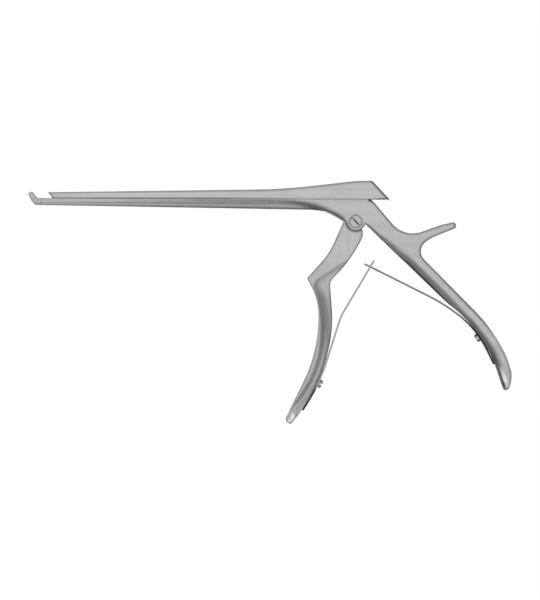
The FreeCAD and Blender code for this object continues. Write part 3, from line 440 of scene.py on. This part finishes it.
# How fast the grain changes along each axis, and the clouds every way, per metre
shaft_grain = (70.0, 1500.0, 1500.0)
shaft_clouds = 55.0
handle_grain = (90.0, 1300.0, 1300.0)
slide_grain = (45.0, 1700.0, 1700.0)
slide_clouds = 50.0
grip_grain = (1300.0, 1300.0, 90.0)
grip_clouds = 75.0
strip_grain = (60.0, 2500.0, 2500.0)
strip_clouds = 90.0
screw_rings = 5200.0
screw_clouds = 160.0
bump_strength = 0.35
# Painted shade along edges, where the steel rounds away from the light; the strips' edges are
# drawn lighter
painted_edge_shade = -0.34
lighter_edges = 0.10
plain_edges = 0.0
shaft_streaks = (9.0, 330.0, 330.0)
slide_streaks = (7.0, 420.0, 420.0)
slide_streak_tones = (0.92, 1.08)
seam_flattening = 1.6


def new_metal(name):
    """An empty metal finish: its node tree, its shader and the place on the piece."""
    material = bpy.data.materials.new(name)
    material.use_nodes = True
    tree = material.node_tree
    tree.nodes.clear()
    output = tree.nodes.new("ShaderNodeOutputMaterial")
    shader = add(tree, "BsdfPrincipled", {"Metallic": 1.0})
    tree.links.new(shader.outputs["BSDF"], output.inputs["Surface"])
    place = add(tree, "TexCoord").outputs["Object"]
    return material, tree, shader, place


def finish_metal(tree, shader, grain, cloud, tone, rough, depth, radius, reach,
                 shades, leans=(), edge_tone=painted_edge_shade, even=0.0):
    """Colour, roughness and bump from the grain, the clouds, the edges and the crevices; edges get
    painted shade or are drawn lighter, crevices get painted shade.
    """
    edges = placed(tree, soft_edges, {"Radius": radius})
    steel = placed(tree, steel_tone, {
        "Grain": grain, "Cloud": cloud, "Edge": edges["Edge"],
        "Open": placed(tree, crevices, {"Reach": reach})["Open"],
        "Even": even, "Shade": product(tree, *shades),
        "Tone": tone, "Edge Tone": edge_tone, "Rough": rough,
    })
    tree.links.new(steel["Colour"], shader.inputs["Base Color"])
    tree.links.new(steel["Roughness"], shader.inputs["Roughness"])
    normal = edges["Normal"]
    for way, amount in leans:
        given = {"Way": way, "Amount": amount, "Normal": normal}
        normal = placed(tree, leaned_normal, given)["Normal"]
    bump = add(tree, "Bump", {
        "Strength": bump_strength, "Distance": depth, "Height": grain, "Normal": normal,
    })
    tree.links.new(bump.outputs["Normal"], shader.inputs["Normal"])


def spot(tree, place, oval):
    """A mask for one of the ovals on the flanks."""
    x, z, degrees, length, width = oval
    turn = math.radians(degrees)
    return placed(tree, oval_spot, {
        "Place": place, "Centre": Vector((x, 0.0, z)) * mm,
        "Along": Vector((math.cos(turn), 0.0, math.sin(turn))) / (length * mm),
        "Across": Vector((-math.sin(turn), 0.0, math.cos(turn))) / (width * mm),
    })["Spot"]


def patch(tree, place, oval, brightness):
    """An oval on a flank with its own brightness: painted shade or a painted highlight."""
    return ramp(tree, spot(tree, place, oval), (0.0, 1.0), (1.0, brightness))


def facing(tree, place):
    """Straight out of the flank: leaning a normal this way flattens the shading."""
    return placed(tree, flank_facing, {"Place": place})["Way"]


# The rear handle's inner edge is a line that bends into an arc. Spans are along the line, and
# depths are from the edge into the flank.
rear_edge_bends = Vector((65.0, 0.0, -56.2)) * mm
rear_edge_way = Vector((0.739, 0.0, -0.673))
rear_edge_out = Vector((0.673, 0.0, 0.739))
rear_bend_centre = Vector((30.0, 0.0, -94.6)) * mm
rear_bend_radius = 50.6 * mm
rear_bend_span = (-4.0 * mm, 6.0 * mm)
crown_begins = (-84.0 * mm, -76.0 * mm)
crown_widens = (-76.0 * mm, -54.0 * mm)
crown_narrows = (-45.0 * mm, -14.0 * mm)
crown_rim = 0.4 * mm
crown_first_width = 2.0 * mm
crown_full_width = 6.5 * mm
crown_last_width = 3.4 * mm
crown_eases = (-68.0 * mm, -50.0 * mm)
crown_leans = (0.55, 0.46)
crown_steepens = (-12.0 * mm, 4.0 * mm)
crown_last_lean = 0.38
outer_side_begins = (-34.0 * mm, -14.0 * mm)
outer_side_depths = (3.8 * mm, 8.8 * mm)
outer_side_lean = 0.40


def rear_crown(tree, place):
    """The rear handle rounds away to its inner edge, and lower down to its outer edge too."""
    off = vector(tree, "SUBTRACT", place, rear_edge_bends)
    run = measure(tree, "DOT_PRODUCT", off, rear_edge_way)
    straight = measure(tree, "DOT_PRODUCT", off, rear_edge_out)
    arc = placed(tree, round_bend, {"Place": place, "Centre": rear_bend_centre})
    in_arc = number(tree, "SUBTRACT", arc["Reach"], rear_bend_radius)
    bent = ramp(tree, run, rear_bend_span, (0.0, 1.0), True)
    depth = add(tree, "Mix", {"Factor": bent, 2: straight, 3: in_arc}).outputs[0]
    way = add(tree, "Mix", {"Factor": bent, 4: rear_edge_out, 5: arc["Way"]},
              data_type="VECTOR").outputs[1]
    narrows = ramp(tree, run, crown_narrows, (crown_full_width, crown_last_width))
    widens = ramp(tree, run, crown_widens, (crown_first_width, crown_full_width))
    width = number(tree, "MINIMUM", narrows, widens)
    eases = ramp(tree, run, crown_eases, crown_leans)
    steepens = ramp(tree, run, crown_steepens, (0.0, crown_last_lean), True)
    inner = product(
        tree, ramp(tree, depth, (crown_rim, width), (1.0, 0.0)), total(tree, eases, steepens),
    )
    outer = product(
        tree, ramp(tree, depth, outer_side_depths, (0.0, outer_side_lean)),
        ramp(tree, run, outer_side_begins, (0.0, 1.0), True),
    )
    amount = number(tree, "SUBTRACT", outer, inner)
    return way, product(tree, amount, ramp(tree, run, crown_begins, (0.0, 1.0)))


# The cheek's foot is a curve that falls from the rail to the pivot. Heights are above it.
foot_rail_z = 10.9 * mm
foot_run_x = (-47.0 * mm, -8.0 * mm)
foot_power = 2.4
foot_drop = 9.7 * mm
foot_height = 4.6 * mm
foot_lean = 0.74
foot_rim = (-0.5 * mm, 0.2 * mm)
foot_grows_x = (-135.0 * mm, -55.0 * mm)
foot_first_share = 0.42
foot_stops_x = (-9.0 * mm, -3.0 * mm)
keel_heights = (-0.9 * mm, -0.3 * mm)
keel_lean = 0.36
below_seam_z = (slide_plane_z + 0.05 * mm, slide_plane_z - 0.05 * mm)


def cheek_foot(tree, place):
    """The cheek rounds under to the slimmer shaft along a falling curve."""
    place = axes(tree, place)
    run = ramp(tree, place["X"], foot_run_x, (0.0, 1.0))
    drop = product(tree, number(tree, "POWER", run, foot_power), foot_drop)
    above = total(tree, number(tree, "SUBTRACT", place["Z"], foot_rail_z), drop)
    fall = ramp(tree, above, (0.0, foot_height), (foot_lean, 0.0))
    rim = ramp(tree, above, foot_rim, (0.0, 1.0), True)
    grows = ramp(tree, place["X"], foot_grows_x, (foot_first_share, 1.0))
    stops = ramp(tree, place["X"], foot_stops_x, (1.0, 0.0), True)
    keel = ramp(tree, above, keel_heights, (keel_lean, 0.0))
    amount = total(tree, product(tree, fall, rim, grows, stops), product(tree, keel, stops))
    return down, product(tree, amount, ramp(tree, place["Z"], below_seam_z, (0.0, 1.0)))


handle_begins_x = (2.0 * mm, 16.0 * mm)
tail_flattening = 3.0
crown_flattening = 1.4
ring_flattening = 1.5


def make_forging():
    """Satin steel ground along the shaft in front, and along the handle behind."""
    material, tree, shader, place = new_metal("satin_forging")
    shaft = placed(tree, ground_grain, {
        "Place": place, "Fine": shaft_grain, "Broad": shaft_clouds,
    })
    handle = placed(tree, ground_grain, {
        "Place": turned(tree, place, handle_turn), "Fine": handle_grain,
    })
    behind = ramp(tree, axes(tree, place)["X"], handle_begins_x, (0.0, 1.0), True)
    grain = add(tree, "Mix", {"Factor": behind, 2: shaft["Grain"], 3: handle["Grain"]}).outputs[0]
    seam = placed(tree, shaft_seam, {"Place": place})
    # Painted shade in the seam, the gap at the cheek's rear corner, under the tail's glint and on
    # the hook's flank, a painted highlight for the tail's glint, and soft streaks of the grinding
    shades = (
        seam["Shade"],
        placed(tree, soft_streaks, {"Place": place, "Fine": shaft_streaks})["Shade"],
        patch(tree, place, gap_corner, gap_corner_shade),
        patch(tree, place, tail_glint, tail_glint_tone),
        patch(tree, place, tail_dip, tail_dip_shade),
        patch(tree, place, hook_flank, hook_flank_shade),
    )
    flattening = total(
        tree,
        product(tree, spot(tree, place, tail_spoon), tail_flattening),
        product(tree, spot(tree, place, crown_start), crown_flattening),
        product(tree, spot(tree, place, pivot_ring), ring_flattening),
        product(tree, seam["Faint"], seam_flattening),
    )
    leans = (
        (facing(tree, place), flattening),
        rear_crown(tree, place),
        cheek_foot(tree, place),
    )
    finish_metal(
        tree, shader, grain, shaft["Cloud"], tone=0.51, rough=0.30, depth=0.012 * mm,
        radius=seam["Radius"], reach=0.5 * mm, shades=shades, leans=leans,
        even=number(tree, "MAXIMUM", spot(tree, place, tail_spoon_top), seam["Faint"]),
    )
    return material


# Painted shade along the slide's rear slope
rear_slope_depths = (-1.7 * mm, -0.7 * mm)
rear_slope_shade = 0.72


def make_slide_finish():
    """Satin steel with plain grinding lines from end to end, and painted shade on its rear slope.
    """
    material, tree, shader, place = new_metal("ground_slide")
    lines = placed(tree, ground_grain, {
        "Place": place, "Fine": slide_grain, "Broad": slide_clouds,
    })
    off = vector(tree, "SUBTRACT", place, slide_rear_top)
    inside = measure(tree, "DOT_PRODUCT", off, slide_rear_out)
    seam = placed(tree, shaft_seam, {"Place": place})
    streaks = placed(tree, soft_streaks, {
        "Place": place, "Fine": slide_streaks,
        "Darkest": slide_streak_tones[0], "Brightest": slide_streak_tones[1],
    })
    # Painted shade in the seam, on the rear slope and at the lower lip, and soft streaks of the
    # grinding
    shades = (
        seam["Shade"],
        streaks["Shade"],
        ramp(tree, inside, rear_slope_depths, (1.0, rear_slope_shade), True),
        patch(tree, place, slide_lip, slide_lip_shade),
    )
    flattening = product(tree, seam["Faint"], seam_flattening)
    finish_metal(
        tree, shader, lines["Grain"], lines["Cloud"], tone=0.535, rough=0.29, depth=0.014 * mm,
        radius=seam["Radius"], reach=0.5 * mm, shades=shades,
        leans=((facing(tree, place), flattening),), even=seam["Faint"],
    )
    return material


# The grip bends round one centre. Radii are from there, and heights fall from where a form
# starts to where it is full.
grip_bend_centre = Vector((-78.3, 0.0, -60.0)) * mm
grip_rim_radii = (57.4 * mm, 59.4 * mm)
grip_rim_leans = (0.12, 0.38)
grip_wall_radii = (59.2 * mm, 60.6 * mm)
grip_wall_lean = 0.26
grip_hollow_radii = (60.6 * mm, 63.5 * mm)
grip_hollow_lean = 0.19
grip_begins_z = (-30.0 * mm, -42.0 * mm)
grip_eases_z = (-58.0 * mm, -84.0 * mm)
grip_last_share = 0.62
grip_flattening = 0.7
# Painted highlights along a ridge in the hollow and along the inner lip
ridge_radius = 62.0 * mm
ridge_half_widths = (0.1 * mm, 0.9 * mm)
ridge_light = 0.42
ridge_begins_z = (-52.0 * mm, -66.0 * mm)
lip_radii = (64.3 * mm, 65.2 * mm)
lip_light = 0.5
lip_begins_z = (-50.0 * mm, -62.0 * mm)


def make_grip_finish():
    """Satin steel ground down the length of the front handle, with a painted highlight along a
    ridge in its hollow.
    """
    material, tree, shader, place = new_metal("satin_grip")
    lines = placed(tree, ground_grain, {
        "Place": place, "Fine": grip_grain, "Broad": grip_clouds,
    })
    bend = placed(tree, round_bend, {"Place": place, "Centre": grip_bend_centre})
    height = axes(tree, place)["Z"]
    rim = ramp(tree, bend["Reach"], grip_rim_radii, grip_rim_leans)
    wall = ramp(tree, bend["Reach"], grip_wall_radii, (0.0, grip_wall_lean), True)
    hollow = ramp(tree, bend["Reach"], grip_hollow_radii, (0.0, grip_hollow_lean))
    amount = product(
        tree, total(tree, number(tree, "SUBTRACT", rim, wall), hollow),
        ramp(tree, height, grip_begins_z, (0.0, 1.0), True),
        ramp(tree, height, grip_eases_z, (1.0, grip_last_share), True),
    )
    off = number(tree, "ABSOLUTE", number(tree, "SUBTRACT", bend["Reach"], ridge_radius))
    ridge = product(
        tree, ramp(tree, off, ridge_half_widths, (ridge_light, 0.0), True),
        ramp(tree, height, ridge_begins_z, (0.0, 1.0), True),
    )
    lip = product(
        tree, ramp(tree, bend["Reach"], lip_radii, (0.0, lip_light), True),
        ramp(tree, height, lip_begins_z, (0.0, 1.0), True),
    )
    down_the_grip = turned(tree, place, quarter_turn)
    # Painted highlights on the ridge, the lip and the glint, and soft streaks of the grinding
    shades = (
        total(tree, ridge, 1.0),
        total(tree, lip, 1.0),
        placed(tree, soft_streaks, {"Place": down_the_grip, "Fine": shaft_streaks})["Shade"],
        patch(tree, place, grip_glint, grip_glint_tone),
    )
    finish_metal(
        tree, shader, lines["Grain"], lines["Cloud"], tone=0.51, rough=0.30, depth=0.012 * mm,
        radius=2.0 * mm, reach=0.6 * mm, shades=shades,
        leans=((facing(tree, place), grip_flattening), (bend["Way"], amount)),
    )
    return material


def make_spring_finish(name, turn, tone, root_z, root_shade):
    """Rolled strip, polished along its length, with painted shade behind its screw."""
    material, tree, shader, place = new_metal(name)
    lines = placed(tree, ground_grain, {
        "Place": turned(tree, place, turn), "Fine": strip_grain, "Broad": strip_clouds,
    })
    # Painted shade towards the leaf's root, behind its screw
    shade = ramp(tree, axes(tree, place)["Z"], root_z, (root_shade, 1.0), True)
    finish_metal(
        tree, shader, lines["Grain"], lines["Cloud"], tone=tone, rough=0.24, depth=0.006 * mm,
        radius=0.12 * mm, reach=0.8 * mm, shades=(shade,), edge_tone=lighter_edges,
    )
    return material


ring_detail = 2.0
head_flattening = 2.5


def make_screw_finish():
    """Bright steel with the fine rings that a turning tool leaves, and painted shade in its slot.
    """
    material, tree, shader, place = new_metal("turned_screw")
    reach = measure(tree, "LENGTH", vector(tree, "MULTIPLY", place, flank_axes))
    rings = add(tree, "TexNoise", {
        "W": product(tree, reach, screw_rings), "Scale": 1.0, "Detail": ring_detail,
    }, noise_dimensions="1D").outputs["Fac"]
    clouds = placed(tree, ground_grain, {"Place": place, "Broad": screw_clouds})
    head = spot(tree, place, pivot_head)
    flattening = product(tree, head, head_flattening)
    finish_metal(
        tree, shader, rings, clouds["Cloud"], tone=0.52, rough=0.28, depth=0.006 * mm,
        radius=0.15 * mm, reach=0.5 * mm,
        shades=(patch(tree, place, pivot_slot, pivot_slot_shade),),
        leans=((facing(tree, place), flattening),), edge_tone=plain_edges, even=head,
    )
    return material


# Light and floor

tent_front = 1.0
tent_side = 0.21
tent_roof = 0.55
tent_right_share = 0.80
tent_front_span = (0.40, 0.95)
tent_right_span = (0.0, 0.7)
tent_roof_span = (0.80, 0.95)
floor_z = -0.42
floor_radius = 0.42
floor_corners = 96
floor_tone = 0.80
floor_glow_span = (0.4 * floor_radius, 0.98 * floor_radius)
floor_glows = (0.75, 1.0)
white = (1.0, 1.0, 1.0, 1.0)


def light_tent():
    """White cloth in front and behind, dim ends and a grey roof, by the direction of the light."""
    world = bpy.data.worlds.new("white_tent")
    world.use_nodes = True
    bpy.context.scene.world = world
    tree = world.node_tree
    tree.nodes.clear()
    output = tree.nodes.new("ShaderNodeOutputWorld")
    way = axes(tree, add(tree, "TexCoord").outputs["Generated"])
    depth = number(tree, "ABSOLUTE", way["Y"])
    cloth = product(
        tree, ramp(tree, depth, tent_front_span, (tent_side, tent_front), True),
        ramp(tree, way["X"], tent_right_span, (1.0, tent_right_share), True),
    )
    roof = ramp(tree, way["Z"], tent_roof_span, (0.0, tent_roof), True)
    level = number(tree, "MAXIMUM", cloth, roof)
    tent = add(tree, "Background", {"Color": level, "Strength": 1.0})
    paper = add(tree, "Background", {"Color": white, "Strength": 1.0})
    seen = add(tree, "LightPath").outputs["Is Camera Ray"]
    mix = add(tree, "MixShader", {
        0: seen, 1: tent.outputs["Background"], 2: paper.outputs["Background"],
    })
    tree.links.new(mix.outputs["Shader"], output.inputs["Surface"])


def lay_floor():
    """A pale disc well below the tool, white to the camera but for the shadow it keeps."""
    bpy.ops.object.select_all(action="DESELECT")
    bpy.ops.mesh.primitive_circle_add(
        vertices=floor_corners, radius=floor_radius, fill_type="NGON",
        location=(view_centre_x, focus_y, floor_z),
    )
    floor = bpy.context.object
    floor.name = "pale_floor"
    material = bpy.data.materials.new("pale_paper")
    material.use_nodes = True
    tree = material.node_tree
    tree.nodes.clear()
    output = tree.nodes.new("ShaderNodeOutputMaterial")
    paper = add(tree, "BsdfDiffuse", {"Color": (floor_tone, floor_tone, floor_tone, 1.0)})
    glow = add(tree, "Emission", {"Color": white, "Strength": 1.0})
    reach = measure(tree, "LENGTH", add(tree, "TexCoord").outputs["Object"])
    rim = ramp(tree, reach, floor_glow_span, floor_glows, True)
    seen = add(tree, "LightPath").outputs["Is Camera Ray"]
    mix = add(tree, "MixShader", {
        0: product(tree, rim, seen), 1: paper.outputs["BSDF"], 2: glow.outputs["Emission"],
    })
    tree.links.new(mix.outputs["Shader"], output.inputs["Surface"])
    floor.data.materials.append(material)


# Pieces

def dress(piece, material):
    """Gives a piece or a CAD node its finish, and leaves its shape alone."""
    piece.data.materials.clear()
    piece.data.materials.append(material)


def opened_copy(node_name, name):
    """A piece with a CAD node's shape, open for editing, its doubles merged."""
    bpy.ops.object.select_all(action="DESELECT")
    piece = bpy.data.objects.new(name, nodes[node_name].data.copy())
    bpy.context.collection.objects.link(piece)
    piece.select_set(True)
    bpy.context.view_layer.objects.active = piece
    bpy.ops.object.mode_set(mode="EDIT")
    bpy.ops.mesh.select_all(action="SELECT")
    bpy.ops.mesh.remove_doubles(threshold=merge_distance)
    return piece


def close_piece():
    """Turns the edited piece's faces outwards, and shades it smooth between its edges."""
    bpy.ops.mesh.select_all(action="SELECT")
    bpy.ops.mesh.normals_make_consistent(inside=False)
    bpy.ops.object.mode_set(mode="OBJECT")
    bpy.ops.object.shade_smooth_by_angle(angle=smooth_angle)


def bending_leaf(node_name, name, root, tip, material):
    """A leaf spring cut across its length, so that it bends when the handles close."""
    leaf = opened_copy(node_name, name)
    bpy.ops.mesh.dissolve_limited(angle_limit=flat_angle)
    way = (tip - root).normalized()
    for step in range(1, leaf_steps):
        bpy.ops.mesh.select_all(action="SELECT")
        bpy.ops.mesh.bisect(plane_co=root + (tip - root) * (step / leaf_steps), plane_no=way)
    close_piece()
    dress(leaf, material)
    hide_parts(node_name)
    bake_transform(leaf)


def turned_pivot_screw(material):
    """The pivot screw stands with its slot falling to the right, as in the picture."""
    screw = opened_copy("pivot_screw", "slotted_pivot")
    bpy.ops.transform.rotate(
        value=quarter_turn, orient_axis="Y", orient_type="GLOBAL", center_override=origin,
    )
    close_piece()
    dress(screw, material)
    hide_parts("pivot_screw")
    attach(screw, "frame")


place_camera()
light_tent()
lay_floor()
dress(nodes["fixed_shaft"], make_forging())
dress(nodes["sliding_shaft"], make_slide_finish())
dress(nodes["front_handle"], make_grip_finish())
screw_finish = make_screw_finish()
turned_pivot_screw(screw_finish)
for node_name in ("front_spring_screw", "rear_spring_screw"):
    dress(nodes[node_name], screw_finish)
# Both leaves are one spring steel: the rear leaf's lower tone is painted shade
light_strip = make_spring_finish(
    "light_strip", turn=math.radians(66.0), tone=0.36,
    root_z=(-93.0 * mm, -90.0 * mm), root_shade=0.10,
)
shaded_strip = make_spring_finish(
    "shaded_strip", turn=math.radians(-28.0), tone=0.17,
    root_z=(-60.0 * mm, -48.0 * mm), root_shade=0.25,
)
bending_leaf(
    "front_spring", "front_leaf", front_leaf_root, front_leaf_tip, light_strip,
)
bending_leaf(
    "rear_spring", "rear_leaf", rear_leaf_root, rear_leaf_tip, shaded_strip,
)

bpy.context.scene.view_settings.view_transform = "Standard"
